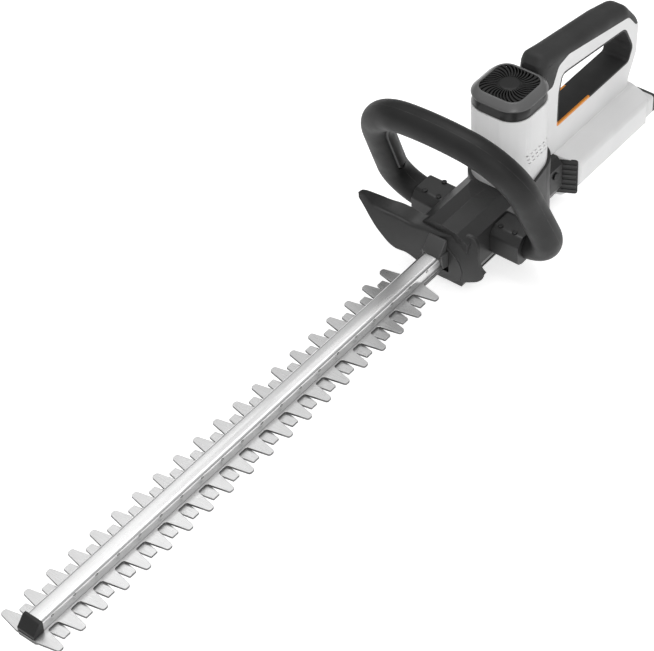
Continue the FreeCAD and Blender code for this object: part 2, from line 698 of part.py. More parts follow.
def front_handle():
    """Leaning loop in two shells with a squeeze bar let into its inner side."""
    edges = [curve.toShape() for curve in outline(LOOP)[:-1]]
    path = doc.addObject("Part::Feature", "loop_spine")
    path.Shape = Part.Wire(Part.__sortEdges__(edges))
    ring = doc.addObject("Part::Feature", "loop_section")
    start, ahead = V(*LOOP[0], 0), V(*LOOP[1][:2], 0)
    ring.Shape = Part.Wire([Part.Circle(start, ahead - start, dim["loop_radius"]).toShape()])
    lean_back(path)
    lean_back(ring)
    tube = doc.addObject("Part::Sweep", "loop_tube")
    tube.Sections = [ring]
    tube.Spine = (path, [f"Edge{i}" for i in range(1, len(edges) + 1)])
    tube.Solid = True

    hollow = in_handle_plane("loop_hollow", outline(inset(LOOP, 3.5)), 11.4)
    reach = in_handle_plane("slot_reach", outline([(-30, -120), (118, -120), (118, 120), (-30, 120)]), 40)
    pocket = in_handle_plane("switch_pocket", outline([(-4.6, -8.2), (3, -8.2), (3, 8.2), (-4.6, 8.2)]), 7.4)
    solid = cut("loop_solid", tube, common("loop_slot", hollow, reach), pocket)
    for label, side in (("loop_shell_front", -60), ("loop_shell_rear", 0)):
        plan = outline([(-40, -130), (200, -130), (200, 130), (-40, 130)])
        half = lean_back(prism(label + "_space", "XY_Plane", plan, 60), side)
        finish(common(label + "_half", solid, half), label)

    back = in_handle_plane("bar_back", outline(inset(LOOP, 8.2)), 10.2)
    face = in_handle_plane("bar_face", outline(inset(LOOP, 16.6)), 12)
    short = in_handle_plane("bar_reach", outline([(-30, -120), (113, -120), (113, 120), (-30, 120)]), 40)
    finish(common("squeeze_bar", cut("bar_ring", back, face), short), "front_switch_bar")
    switch = in_handle_plane("switch_body", outline([(-4.4, -8), (1.4, -8), (1.4, 8), (-4.4, 8)]), 7)
    finish(switch, "front_switch")
    return tube


def arms(tube, case):
    """Arms from the gear case to the ends of the front handle, with a screwed cover each."""
    side = [(589, -7, 4), (589, 14, 4), (596, 22, 5), (620, 22, 6), (627, 12, 5), (625, -9, 4), (596, -10, 4)]
    for name, sign in (("left", -1), ("right", 1)):
        low, high = sorted((sign * 29.9, sign * 62))
        body = prism(f"arm_{name}_bar", "XZ_Plane", outline(side), high - low, -high)
        finish(cut(f"arm_{name}_done", body, tube, case), f"handle_arm_{name}")


def screws():
    """Screws of the arms, the neck and the base plate."""
    arm_screws = []
    for sign in (-1, 1):
        for i, (sx, sy) in enumerate(((598, 36), (598, 52), (618, 44))):
            arm_screws.append(cylinder(f"arm_screw_{sign + 1}_{i}", (sx, sign * sy, 22), 2.6, 1.6))
    finish(group("arm_screw_set", *arm_screws), "arm_screws")
    neck_screws = []
    for sign in (-1, 1):
        neck_screws.append(cylinder(f"neck_screw_{sign + 1}", (702, sign * 26, 6), 4, 2, (0, sign, 0)))
    finish(group("neck_screw_set", *neck_screws), "neck_screws")
    floor_screws = []
    for i, (sx, sy) in enumerate(((576, -14), (576, 14), (682, -14), (682, 14))):
        floor_screws.append(cylinder(f"floor_screw_{i}", (sx, sy, -26.5), 2.4, 1.8))
    finish(group("floor_screw_set", *floor_screws), "base_screws")


# ---- battery bay ----

def battery():
    """Battery with its cells, end cap and release latch, and what it plugs into."""
    front, rear = dim["battery_front"], dim["battery_rear"]
    case = lengthwise("pack_case", battery_section(0), front, 848)
    room = block("pack_room", (front + 8, -33, -14.2), (front + 106, 33, 5))
    finish(cut("pack_done", case, room), "battery_case")
    cells = []
    for i in range(5):
        cells.append(cylinder(f"cell_{i}", (front + 18.5 + 19 * i, -32.5, -4.6), 9.15, 65, (0, 1, 0)))
    finish(group("cell_set", *cells), "battery_cells")
    end = lengthwise("pack_end", battery_section(0), 848, rear)
    latch_room = block("latch_room", (853, -14, -1.6), (870, 14, 12))
    finish(cut("pack_end_done", end, latch_room), "battery_end")
    finish(block("latch_block", (853.4, -13.5, 1), (863.4, 13.5, 6.4)), "battery_latch")
    finish(block("terminal_body", (728.4, -15, -14), (737.7, 15, 3)), "terminal_block")
    finish(block("board_body", (732, -11, 9.4), (796, 11, 14)), "control_board")


def grille():
    """Slatted vent between the neck and the battery bay."""
    frame = block("grille_frame", (714.2, -23.6, -20.6), (722, 23.6, 7.6))
    gaps = [block(f"grille_gap_{i}", (710, -21, -18 + 6 * i), (730, 21, -14.6 + 6 * i)) for i in range(4)]
    finish(cut("grille_done", frame, *gaps), "bay_grille")


def rear_handle():
    """Everything that shares the rear handle's outline."""
    handle = handle_solid()
    white = white_region()
    slot = trigger_slot()
    rooms = [slot, switch_room()]
    housing(common("handle_white", handle, white), rooms)
    grip(handle, white, rooms)
    liner(slot)


blades()
rail()
rail_fixings()
tip_cap()
drive_gear()
motor()
gear_mounts()
rear_handle()
trigger_set()
cap()
arms(front_handle(), gear_case())
screws()
guard()
battery()
grille()
doc.recompute()

for item in doc.Objects:
    if "Invalid" in item.State or "Error" in item.State:
        raise RuntimeError(f"{item.Name} ({item.Label}) failed: {item.State}")
for piece in nodes:
    if piece.Shape.isNull() or not piece.Shape.isValid():
        raise RuntimeError(f"{piece.Label} has no valid shape")
for piece in nodes:
    piece.Shape.exportStep(f"parts/{piece.Label}.step")
    box = piece.Shape.BoundBox
    print(piece.Label, len(piece.Shape.Solids), round(piece.Shape.Volume),
          [round(v, 1) for v in (box.XMin, box.XMax, box.YMin, box.YMax, box.ZMin, box.ZMax)])
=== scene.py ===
import json
from math import asin, atan, cos, pi, radians, sin, tan

import bmesh
import bpy
from mathutils import Matrix, Vector


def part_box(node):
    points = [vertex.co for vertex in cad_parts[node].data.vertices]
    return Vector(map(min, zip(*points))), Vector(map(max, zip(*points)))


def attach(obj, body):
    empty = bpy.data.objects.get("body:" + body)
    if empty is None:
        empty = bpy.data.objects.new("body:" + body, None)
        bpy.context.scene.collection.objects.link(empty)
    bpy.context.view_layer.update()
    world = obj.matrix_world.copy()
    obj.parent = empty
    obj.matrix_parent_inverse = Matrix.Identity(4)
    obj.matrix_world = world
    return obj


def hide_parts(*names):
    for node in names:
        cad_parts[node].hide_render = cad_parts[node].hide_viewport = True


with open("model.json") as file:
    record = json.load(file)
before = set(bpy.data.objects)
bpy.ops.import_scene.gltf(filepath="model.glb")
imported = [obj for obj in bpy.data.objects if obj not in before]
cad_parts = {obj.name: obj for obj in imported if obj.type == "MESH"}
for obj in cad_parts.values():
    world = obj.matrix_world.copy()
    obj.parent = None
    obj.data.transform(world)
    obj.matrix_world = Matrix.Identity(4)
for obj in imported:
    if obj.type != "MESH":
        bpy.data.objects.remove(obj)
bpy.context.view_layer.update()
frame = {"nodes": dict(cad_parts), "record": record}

# Sizes below are in millimetres in the tool's own frame, as in the CAD: X runs back from the first
# tooth, Y is across (left is -Y) and Z is up from the top of the upper blade.
MM = 0.001
ORIGIN = Vector((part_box("blade_rail")[0].x - 5 * MM, 0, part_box("blade_upper")[1].z))


def at(x, y, z):
    """A point of the tool's frame as a point of the scene."""
    return ORIGIN + Vector((x, y, z)) * MM


# ---- materials ----

class Recipe:
    """A procedural material: a Principled shader and the nodes that feed it."""

    def __init__(self, name, **settings):
        self.material = bpy.data.materials.new(name)
        self.material.use_nodes = True
        self.tree = self.material.node_tree
        self.shader = self.tree.nodes["Principled BSDF"]
        for socket, value in settings.items():
            self.shader.inputs[socket.replace("_", " ")].default_value = value
        self.place = self.node("ShaderNodeTexCoord").outputs["Object"]

    def node(self, kind, inputs=None, **settings):
        made = self.tree.nodes.new(kind)
        for key, value in settings.items():
            setattr(made, key, value)
        for socket, value in (inputs or {}).items():
            self.feed(made.inputs[socket], value)
        return made

    def feed(self, socket, value):
        if isinstance(value, bpy.types.NodeSocket):
            self.tree.links.new(value, socket)
        else:
            socket.default_value = value

    def stretched(self, scale):
        """Object coordinates scaled differently along X, Y and Z."""
        return self.node("ShaderNodeMapping", {"Vector": self.place, "Scale": scale}).outputs[0]

    def noise(self, scale, detail=2.0, stretch=None, roughness=0.5):
        """Noise of so many cells per metre."""
        place = self.stretched(stretch) if stretch else self.place
        return self.node("ShaderNodeTexNoise", {"Vector": place, "Scale": scale, "Detail": detail,
                                                "Roughness": roughness}).outputs["Fac"]

    def ramp(self, value, low, high, start=0.0, end=1.0):
        """A value from low..high mapped to start..end."""
        return self.node("ShaderNodeMapRange", {"Value": value, "From Min": low, "From Max": high,
                                                "To Min": start, "To Max": end}).outputs[0]

    def blend(self, share, first, second):
        """Mix of two colours."""
        made = self.node("ShaderNodeMix", data_type="RGBA")
        self.feed(made.inputs["Factor"], share)
        self.feed(made.inputs["A"], first)
        self.feed(made.inputs["B"], second)
        return made.outputs["Result"]

    def math(self, operation, first, second):
        return self.node("ShaderNodeMath", {0: first, 1: second}, operation=operation).outputs[0]

    def edges(self, radius):
        """1 on sharp edges and 0 on flat or gently curved faces."""
        soft = self.node("ShaderNodeBevel", {"Radius": radius}, samples=4).outputs[0]
        flat = self.node("ShaderNodeNewGeometry").outputs["Normal"]
        turn = self.node("ShaderNodeVectorMath", {0: soft, 1: flat}, operation="DOT_PRODUCT")
        return self.ramp(turn.outputs["Value"], 0.995, 0.9)

    def bump(self, height, distance, strength=1.0):
        made = self.node("ShaderNodeBump", {"Height": height, "Distance": distance,
                                            "Strength": strength})
        self.feed(self.shader.inputs["Normal"], made.outputs[0])

    def colour(self, value):
        self.feed(self.shader.inputs["Base Color"], value)

    def roughness(self, value):
        self.feed(self.shader.inputs["Roughness"], value)


def grey(level, blue=0.0):
    return (level, level, level + blue, 1)


def moulded(name, low, high, wear, grain=1800, depth=0.00006, rough=(0.42, 0.55), **settings):
    """Spark-eroded moulded plastic: fine even grain, faint clouding, polished edges."""
    m = Recipe(name, **settings)
    cloud = m.noise(14, 3)
    fine = m.noise(grain, 2)
    worn = m.math("MULTIPLY", m.edges(0.7 * MM), m.ramp(m.noise(160, 4), 0.35, 0.7))
    m.colour(m.blend(worn, m.blend(m.ramp(cloud, 0.3, 0.7), low, high), wear))
    rubbed = m.math("SUBTRACT", m.ramp(m.noise(45, 4), 0.3, 0.7, rough[1], rough[0]),
                    m.math("MULTIPLY", worn, 0.12))
    m.roughness(rubbed)
    m.bump(fine, depth, 0.5)
    return m.material


def rubber(name, low, high):
    """Soft overmoulding: matte, with a slightly pebbled skin."""
    m = Recipe(name, Specular_IOR_Level=0.3)
    m.colour(m.blend(m.ramp(m.noise(22, 4), 0.3, 0.7), low, high))
    pebbles = m.node("ShaderNodeTexVoronoi", {"Vector": m.place, "Scale": 1500},
                     feature="SMOOTH_F1").outputs["Distance"]
    m.roughness(m.ramp(m.noise(60, 3), 0.3, 0.7, 0.52, 0.66))
    m.bump(pebbles, 0.00008, 0.4)
    return m.material


def brushed(name, low, high, along=(2, 300, 300), rough=(0.24, 0.4), cuts=0.000012):
    """Steel ground in one direction, with a few deeper scratches."""
    m = Recipe(name, Metallic=1.0, Anisotropic=0.4)
    streaks = m.noise(9, 6, along, 0.7)
    stains = m.noise(18, 4)
    tone = m.math("MULTIPLY", m.ramp(streaks, 0.3, 0.7), m.ramp(stains, 0.2, 0.6, 0.7, 1.0))
    m.colour(m.blend(tone, low, high))
    m.roughness(m.ramp(streaks, 0.3, 0.7, rough[1], rough[0]))
    m.bump(streaks, cuts, 0.8)
    return m.material


def machined(name, low, high, rough=(0.25, 0.42)):
    """Metal with a fine even surface and a tone that varies at random."""
    m = Recipe(name, Metallic=1.0)
    m.colour(m.blend(m.ramp(m.noise(90, 5), 0.3, 0.7), low, high))
    m.roughness(m.ramp(m.noise(400, 3), 0.3, 0.7, rough[0], rough[1]))
    m.bump(m.noise(1400, 2), 0.00003, 0.5)
    return m.material


def make_materials():
    """One material for each of the record's slots, and a few for pieces that have no slot of their own."""
    return {
        "white_shell": moulded("white_shell", grey(0.70), grey(0.78), grey(0.86), 1500, 0.00005),
        "black_shell": moulded("black_shell", grey(0.02), grey(0.03), grey(0.09), 1800, 0.00006,
                               (0.34, 0.46), Specular_IOR_Level=0.4),
        "cap_plastic": moulded("cap_plastic", grey(0.01), grey(0.016), grey(0.06), 2600, 0.00003,
                               (0.3, 0.4), Specular_IOR_Level=0.3),
        "loop_plastic": moulded("loop_plastic", grey(0.013), grey(0.02), grey(0.06), 1500, 0.00008,
                                (0.46, 0.6), Specular_IOR_Level=0.25),
        "soft_grip": rubber("soft_grip", grey(0.026), grey(0.038)),
        "trigger_plastic": moulded("trigger_plastic", grey(0.012), grey(0.02), grey(0.06)),
        "accent": moulded("accent", (0.75, 0.25, 0.02, 1), (0.82, 0.3, 0.03, 1),
                          (0.9, 0.42, 0.1, 1), 2200, 0.00003, (0.32, 0.42)),
        "blade_steel": brushed("blade_steel", grey(0.58), grey(0.74), (300, 3, 300)),
        # Dark steel for the blades' edge faces: painted shade outlining the teeth.
        "blade_edge_painted_shade": machined("blade_edge_painted_shade", grey(0.1), grey(0.2), (0.4, 0.6)),
        "rail_steel": brushed("rail_steel", grey(0.72), grey(0.88)),
        # Dark steel for the rail's dimples: painted shade in the pressed hollows.
        "dimple_painted_shade": machined("dimple_painted_shade", grey(0.12), grey(0.25), (0.4, 0.6)),
        "rail_hood": moulded("rail_hood", grey(0.05), grey(0.07), grey(0.12), 2200, 0.00004,
                             (0.3, 0.42)),
        # Near-black for sheets behind grilles and vents: painted shade standing in for the dark inside
        # them.
        "shade_backing": moulded("shade_backing", grey(0.004), grey(0.006), grey(0.02)),
        "tip_plastic": moulded("tip_plastic", grey(0.008), grey(0.014), grey(0.05)),
        "gear_steel": machined("gear_steel", grey(0.3), grey(0.5)),
        "plate_alloy": machined("plate_alloy", grey(0.45), grey(0.62), (0.4, 0.55)),
        "guide_plastic": moulded("guide_plastic", (0.6, 0.58, 0.5, 1), (0.66, 0.64, 0.56, 1),
                                 (0.72, 0.7, 0.64, 1)),
        "motor_steel": machined("motor_steel", grey(0.12), grey(0.2), (0.35, 0.5)),
        "fan_plastic": moulded("fan_plastic", grey(0.03), grey(0.045), grey(0.09)),
        "fixings": machined("fixings", grey(0.03), grey(0.07), (0.35, 0.5)),
        # Lighter copy of the cap's black for its upward facets: painted light where the lamps fall.
        "cap_facet_painted_light": moulded("cap_facet_painted_light", grey(0.1), grey(0.13), grey(0.22), 2600, 0.00003,
                             (0.3, 0.4)),
        "pack_shell": moulded("pack_shell", grey(0.62), grey(0.7), grey(0.8), 1500, 0.00005),
        "spring_steel": machined("spring_steel", grey(0.35), grey(0.55)),
        "switch_plastic": moulded("switch_plastic", grey(0.02), grey(0.035), grey(0.08)),
        "board": moulded("board", (0.01, 0.09, 0.03, 1), (0.015, 0.13, 0.045, 1),
                         (0.3, 0.25, 0.1, 1)),
        "battery_plastic": moulded("battery_plastic", grey(0.014), grey(0.024), grey(0.07)),
        "latch_plastic": moulded("latch_plastic", grey(0.02), grey(0.032), grey(0.08)),
        "cell_wrap": moulded("cell_wrap", (0.02, 0.16, 0.3, 1), (0.03, 0.2, 0.36, 1),
                             (0.1, 0.3, 0.45, 1), 2600, 0.00002, (0.25, 0.35)),
    }


materials = make_materials()


def soften(piece, width, angle=28):
    """Round off the sharp edges of a piece without changing its own mesh."""
    weld = piece.modifiers.new("weld", "WELD")
    weld.merge_threshold = 0.002 * MM
    flat = piece.modifiers.new("flat", "DECIMATE")
    flat.decimate_type = "DISSOLVE"
    flat.angle_limit = radians(0.4)
    bevel = piece.modifiers.new("bevel", "BEVEL")
    bevel.width = width * MM
    bevel.segments = 2
    bevel.angle_limit = radians(angle)
    bevel.harden_normals = True


def dress_cad():
    """Each CAD node gets its slot's material and softened edges."""
    slots = {}
    for part in frame["record"]["subparts"]:
        slots[part["node"]] = part["material_slot"]
    for name, node in frame["nodes"].items():
        node.data.materials.clear()
        node.data.materials.append(materials[slots[name]])
        soften(node, 0.5)


# ---- drawing ----

def rounded(points, step=2.0):
    """Closed outline through corners (a, b) or (a, b, radius), its arcs cut into short runs."""
    drawn = []
    for i, point in enumerate(points):
        corner = Vector(point[:2])
        if len(point) < 3:
            drawn.append(corner)
            continue
        back = (Vector(points[i - 1][:2]) - corner).normalized()
        ahead = (Vector(points[(i + 1) % len(points)][:2]) - corner).normalized()
        half = back.angle(ahead) / 2
        radius = point[2]
        centre = corner + (back + ahead).normalized() * radius / sin(half)
        start = corner + back * radius / tan(half) - centre
        sweep = pi - 2 * half
        turn = 1 if back.x * ahead.y - back.y * ahead.x < 0 else -1
        runs = max(2, int(radius * sweep / step) + 2)
        for k in range(runs + 1):
            angle = turn * sweep * k / runs
            drawn.append(centre + Vector((start.x * cos(angle) - start.y * sin(angle),
                                          start.x * sin(angle) + start.y * cos(angle))))
    return drawn


def mirrored(points):
    """Outline symmetric about the first axis from the corners on its positive side."""
    return points + [(p[0], -p[1], *p[2:]) for p in reversed(points)]


def square(x, half, corner, step=2.0):
    return rounded([(x - half, -half, corner), (x + half, -half, corner),
                    (x + half, half, corner), (x - half, half, corner)], step)


PLAN = Matrix(((1, 0, 0), (0, 1, 0), (0, 0, 1)))
SIDE = Matrix(((1, 0, 0), (0, 0, -1), (0, 1, 0)))
FRONT = Matrix(((0, 0, 1), (1, 0, 0), (0, 1, 0)))


def slab(outlines, low, high, edge, plane=PLAN, segments=2):
    """Mesh of a flat piece with rounded edges; the first outline is outside, the rest are holes.
    Low and high are along the plane's normal: up, towards the left side or towards the rear."""
    curve = bpy.data.curves.new("slab", "CURVE")
    curve.dimensions = "2D"
    curve.fill_mode = "BOTH"
    curve.extrude = (high - low) / 2 - edge
    curve.bevel_depth = edge
    curve.bevel_resolution = segments
    curve.offset = -edge
    for points in outlines:
        line = curve.splines.new("POLY")
        line.points.add(len(points) - 1)
        for spot, point in zip(line.points, points):
            spot.co = (point[0], point[1], 0, 1)
        line.use_cyclic_u = True
    shape = bpy.data.objects.new("slab", curve)
    bpy.context.scene.collection.objects.link(shape)
    bpy.context.view_layer.update()
    mesh = bpy.data.meshes.new_from_object(shape)
    bpy.data.objects.remove(shape)
    for vertex in mesh.vertices:
        vertex.co = at(*(plane @ (vertex.co + Vector((0, 0, (low + high) / 2)))))
    return mesh


def loft(rings, closed=True, ends=True):
    """Mesh through rings with equal counts of points in the tool's frame."""
    bm = bmesh.new()
    rows = [[bm.verts.new(at(*p)) for p in ring] for ring in rings]
    count = len(rows[0])
    for a, b in zip(rows, rows[1:]):
        for i in range(count if closed else count - 1):
            k = (i + 1) % count
            bm.faces.new((a[i], a[k], b[k], b[i]))
    if closed and ends:
        bm.faces.new(list(reversed(rows[0])))
        bm.faces.new(rows[-1])
    bmesh.ops.recalc_face_normals(bm, faces=bm.faces)
    mesh = bpy.data.meshes.new("loft")
    bm.to_mesh(mesh)
    bm.free()
    return mesh


def joined(*meshes):
    """One mesh from several."""
    bm = bmesh.new()
    for mesh in meshes:
        bm.from_mesh(mesh)
    made = bpy.data.meshes.new("joined")
    bm.to_mesh(made)
    bm.free()
    return made


def piece(name, mesh, body, slot, *nodes, bevel=0.0, angle=30, smooth=35):
    """A finished piece: material, rounded edges, and the body and CAD nodes it belongs to."""
    made = bpy.data.objects.new(name, mesh)
    bpy.context.scene.collection.objects.link(made)
    mesh.materials.clear()
    mesh.materials.append(materials[slot])
    for face in mesh.polygons:
        face.use_smooth = True
    mesh.set_sharp_from_angle(angle=radians(smooth))
    if bevel:
        soften(made, bevel, angle)
    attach(made, body)
    if nodes:
        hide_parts(*nodes)
    return made


def smoothstep(value, low, high):
    t = min(max((value - low) / (high - low), 0.0), 1.0)
    return t * t * (3 - 2 * t)


def along(table, value):
    """Smooth reading of a table of (position, height), by cubic runs between its rows."""
    for i in range(len(table) - 1):
        x0, y0 = table[i]
        x1, y1 = table[i + 1]
        if value <= x1 or i == len(table) - 2:
            span = x1 - x0
            before = table[max(i - 1, 0)]
            after = table[min(i + 2, len(table) - 1)]
            slope0 = (y1 - before[1]) / (x1 - before[0])
            slope1 = (after[1] - y0) / (after[0] - x0)
            t = (value - x0) / span
            return ((2 * t ** 3 - 3 * t ** 2 + 1) * y0 + (t ** 3 - 2 * t ** 2 + t) * span * slope0
                    + (3 * t ** 2 - 2 * t ** 3) * y1 + (t ** 3 - t ** 2) * span * slope1)


# ---- blades and rail ----

PITCH = 26.5
BLADE_ROOT = 10.5
BLADE_THICK = 2.4
BLADE_CLEAR = 0.05
GEAR_AXIS = 636
YOKE_HALF = 11.4
YOKE_STRETCH = 5
BOLT_SLOT = (8.5, 2.9)
BOLT_PITCH = 110


def comb(reach, shift, half_root, half_tip, tip_round, teeth):
    """One side of a toothed blade: tapered teeth with rounded roots."""
    side = []
    for i in range(teeth):
        x = i * PITCH + shift
        side += [(x - half_root, BLADE_ROOT, 2.5), (x - half_tip, reach, tip_round),
                 (x + half_tip, reach, tip_round), (x + half_root, BLADE_ROOT, 2.5)]
    return side


def blade(name, node, body, side, low):
    """Toothed bar whose sawn edges are painted darker than its ground faces as shade; its rear end has a
    crosswise yoke.
    """
    tail = [(GEAR_AXIS - 20, BLADE_ROOT, 8), (GEAR_AXIS - 16, 20.9, 4), (GEAR_AXIS + 15.5, 20.9, 4)]
    body_side = [(side[0][0] - 0.01, BLADE_ROOT)] if side[0][0] > 0 else []
    shape = rounded(mirrored(body_side + side + tail), 0.8)
    yoke = [Vector((p.x, p.y + (YOKE_STRETCH if p.y > 0 else -YOKE_STRETCH)))
            for p in square(GEAR_AXIS, YOKE_HALF, YOKE_HALF - 0.2)]
    holes = [yoke]
    reach, wide = BOLT_SLOT
    for i in range(5):
        x = 62 + BOLT_PITCH * i
        holes.append(rounded([(x - reach, -wide, 2.8), (x + reach, -wide, 2.8),
                              (x + reach, wide, 2.8), (x - reach, wide, 2.8)], 0.8))
    bar = slab([shape] + holes, low + BLADE_CLEAR, low + BLADE_THICK - BLADE_CLEAR, 0.25)
    made = piece(name, bar, body, "blade_steel", node)
    # Edge faces get the dark steel: painted shade along the outline of each tooth.
    made.data.materials.append(materials["blade_edge_painted_shade"])
    for face in made.data.polygons:
        face.material_index = 1 if abs(face.normal.z) < 0.3 else 0


def blades():
    """Long rounded teeth above, short blunt ones below, half a pitch apart."""
    blade("toothed_blade_top", "blade_upper", "blade_top",
          comb(33.0, 0.0, 7.8, 3.1, 2.6, 20), -BLADE_THICK)
    blade("toothed_blade_bottom", "blade_lower", "blade_bottom",
          comb(25.2, 14.5, 6.5, 4.0, 0.8, 19), -2 * BLADE_THICK - 0.1)


RAIL_HALF = 8.7
RAIL_INSIDE = 6.9
RAIL_FOOT = 0.15
RAIL_START = 5
RAIL_LENGTH = 599


def rail():
    """Folded steel channel, its top corners rolled, with a row of pressed dimples on each side."""
    section = rounded([(-RAIL_HALF, RAIL_FOOT), (-RAIL_INSIDE, RAIL_FOOT), (-RAIL_INSIDE, 9.7, 2),
                       (RAIL_INSIDE, 9.7, 2), (RAIL_INSIDE, RAIL_FOOT), (RAIL_HALF, RAIL_FOOT),
                       (RAIL_HALF, 11.5, 3.6), (-RAIL_HALF, 11.5, 3.6)], 0.5)
    runs = 60
    stations = [RAIL_START + i * RAIL_LENGTH / runs for i in range(runs + 1)]
    mesh = loft([[(x, p.x, p.y) for p in section] for x in stations])
    piece("rail_channel", mesh, "frame", "rail_steel", "blade_rail", bevel=0.2)
    dimples = [dimple(16.5 + PITCH * i, side) for side in (-1, 1) for i in range(20)]
    # The dimples are coloured dark: painted shade in each hollow.
    piece("rail_dimples", joined(*dimples), "frame", "dimple_painted_shade")


def dimple(x, side):
    """Shallow oval dish pressed into one side of the rail, half as long again as it is high."""
    rings = []
    for depth, size in ((-0.05, 1.25), (0.06, 1.05), (0.02, 0.7), (-0.04, 0.2)):
        rings.append([(x + 1.5 * size * cos(k * pi / 8), side * (RAIL_HALF + depth),
                       7.9 + size * sin(k * pi / 8)) for k in range(16)])
    return loft(rings, ends=False)


# ---- guard ----

# Heights of the guard's lower and upper edges across the tool, from its left side to its right.
GUARD_LOW = [(-43.5, -9), (-42, -14), (-38, -17.6), (-32.5, -17.6), (-26, -17), (-20, -19.5), (-14, -22.2),
             (0, -23.2), (16, -20.5), (26, -13), (34, -8), (44, -5), (50, 0.5), (55, 8.5), (60, 18),
             (65, 30.5), (69.5, 44), (72, 51), (73.5, 55.3)]
GUARD_HIGH = [(-43.5, -8.6), (-41, -3), (-39, 3.5), (-35.5, 20), (-28, 28.6), (-14, 28.5), (14, 28.5),
              (28, 29), (40, 34.2), (53, 39.6), (60, 43.8), (64, 47.2), (67, 51.5), (70, 57), (72, 60),
              (73.5, 60.9)]
GUARD_FRONT = 549
GUARD_SWEEP = 0.0045
GUARD_DISC = (-8.0, 29.3)
MOUTH_HALF = 11.8
MOUTH_LOW = -12.5
MOUTH_HIGH = 12.4
# A column of the guard runs up its front face, round the fold and back along the flange.
BELOW_MOUTH = 3
BESIDE_MOUTH = 6
ABOVE_MOUTH = 4
FOLD_RUNS = 5
FLANGE_RUNS = 4


def swept_back(y, z):
    """How far the guard's left side falls back outside its flat round middle."""
    height, radius = GUARD_DISC
    beyond = Vector((y, z - height)).length - radius
    return 0.9 * max(beyond, 0.0) * smoothstep(-y, -4, 8)


def guard_column(y):
    """Points of the guard at one place across the tool."""
    low = along(GUARD_LOW, y)
    high = max(along(GUARD_HIGH, y), low + 0.4)
    tall = high - low
    deep = 1.2 + 16.5 * (1 - smoothstep(y, 62, 78)) * (1 - 0.85 * smoothstep(-y, -4, 30))
    fold = min(4.0, 0.3 * tall, 0.5 * deep)
    near = 1 - smoothstep(abs(y), 12.5, 30)
    sill = low + (MOUTH_LOW - low) * near + 0.25 * tall * (1 - near)
    lintel = low + (MOUTH_HIGH - low) * near + 0.62 * tall * (1 - near)
    heights = [low + (sill - low) * k / BELOW_MOUTH for k in range(BELOW_MOUTH)]
    heights += [sill + (lintel - sill) * k / BESIDE_MOUTH for k in range(BESIDE_MOUTH)]
    heights += [lintel + (high - fold - lintel) * k / ABOVE_MOUTH for k in range(ABOVE_MOUTH + 1)]
    face = GUARD_FRONT - GUARD_SWEEP * max(y, 0.0) ** 2
    column = [(face + swept_back(y, z), y, z) for z in heights]
    front = column[-1][0]
    for k in range(1, FOLD_RUNS + 1):
        angle = pi / 2 * k / FOLD_RUNS
        column.append((front + fold * (1 - cos(angle)), y, high - fold + fold * sin(angle)))
    flange = deep - fold
    rise = (0.1 - 0.25 * smoothstep(y, 45, 66)) * flange
    for k in range(1, FLANGE_RUNS + 1):
        share = k / FLANGE_RUNS
        column.append((front + fold + flange * share, y, high + rise * share))
    return column


def guard_mesh():
    """The guard's outer skin through its columns, open where the rail passes."""
    ys = [-43.4 + 1.0 * i for i in range(32)]
    ys += [-MOUTH_HALF + 2 * MOUTH_HALF * i / 20 for i in range(21)]
    ys += [12.4 + 1.0 * i for i in range(61)] + [73.2]
    bm = bmesh.new()
    rows = [[bm.verts.new(at(*p)) for p in guard_column(y)] for y in ys]
    for left, right in zip(rows, rows[1:]):
        for k in range(len(left) - 1):
            middle = (left[k].co + right[k + 1].co) / 2 - ORIGIN
            beside = BELOW_MOUTH <= k < BELOW_MOUTH + BESIDE_MOUTH
            within = abs(middle.y) < (MOUTH_HALF - 0.1) * MM
            if not (beside and within and -12.4 * MM < middle.z < 12.3 * MM):
                bm.faces.new((left[k], left[k + 1], right[k + 1], right[k]))
    loose = [v for v in bm.verts if not v.link_faces]
    bmesh.ops.delete(bm, geom=loose, context="VERTS")
    bmesh.ops.recalc_face_normals(bm, faces=bm.faces)
    if bm.faces[0].normal.x > 0:
        bmesh.ops.reverse_faces(bm, faces=bm.faces)
    mesh = bpy.data.meshes.new("guard")
    bm.to_mesh(mesh)
    bm.free()
    return mesh


def guard():
    """Swept shield: a thin curved face rolled back into a flange along its top."""
    shield = piece("guard_shield", guard_mesh(), "frame", "black_shell", "front_guard", smooth=60)
    skin = shield.modifiers.new("skin", "SOLIDIFY")
    skin.thickness = 2.8 * MM
    skin.offset = -1
    soften(shield, 0.8, 40)
    piece("guard_collar", guard_collar(), "frame", "black_shell")
    piece("rail_hood", rail_hood(), "frame", "rail_hood")


def guard_collar():
    """Raised middle of the guard, round above and following the guard's edge below."""
    height, radius = GUARD_DISC
    reach = 0.93 * radius
    rim = [(-reach * cos(k * pi / 24), height + reach * sin(k * pi / 24)) for k in range(25)]
    foot = [(y, along(GUARD_LOW, y) + 1.0) for y in range(24, -25, -4)]
    mouth = [(-MOUTH_HALF, MOUTH_LOW), (MOUTH_HALF, MOUTH_LOW),
             (MOUTH_HALF, MOUTH_HIGH), (-MOUTH_HALF, MOUTH_HIGH)]
    return slab([rim + foot, mouth], GUARD_FRONT - 0.8, GUARD_FRONT + 6, 0.4, FRONT)


def rail_hood():
    """Sloping cover over the rail where it enters the guard, with a cheek on each side."""
    top = slab([rounded([(550, 26, 1), (547.5, 26, 1.5), (536.8, 12.4, 1.5), (536.8, 11.8),
                         (550, 11.8)])], -9.6, 9.6, 0.6, SIDE)
    cheeks = [slab([rounded([(550, 13, 1), (538, 13, 1), (541, -3, 3), (550, -5, 1)])],
                   side - 1.2, side + 1.2, 0.4, SIDE) for side in (-10.3, 10.3)]
    return joined(top, *cheeks)


# ---- front handle ----

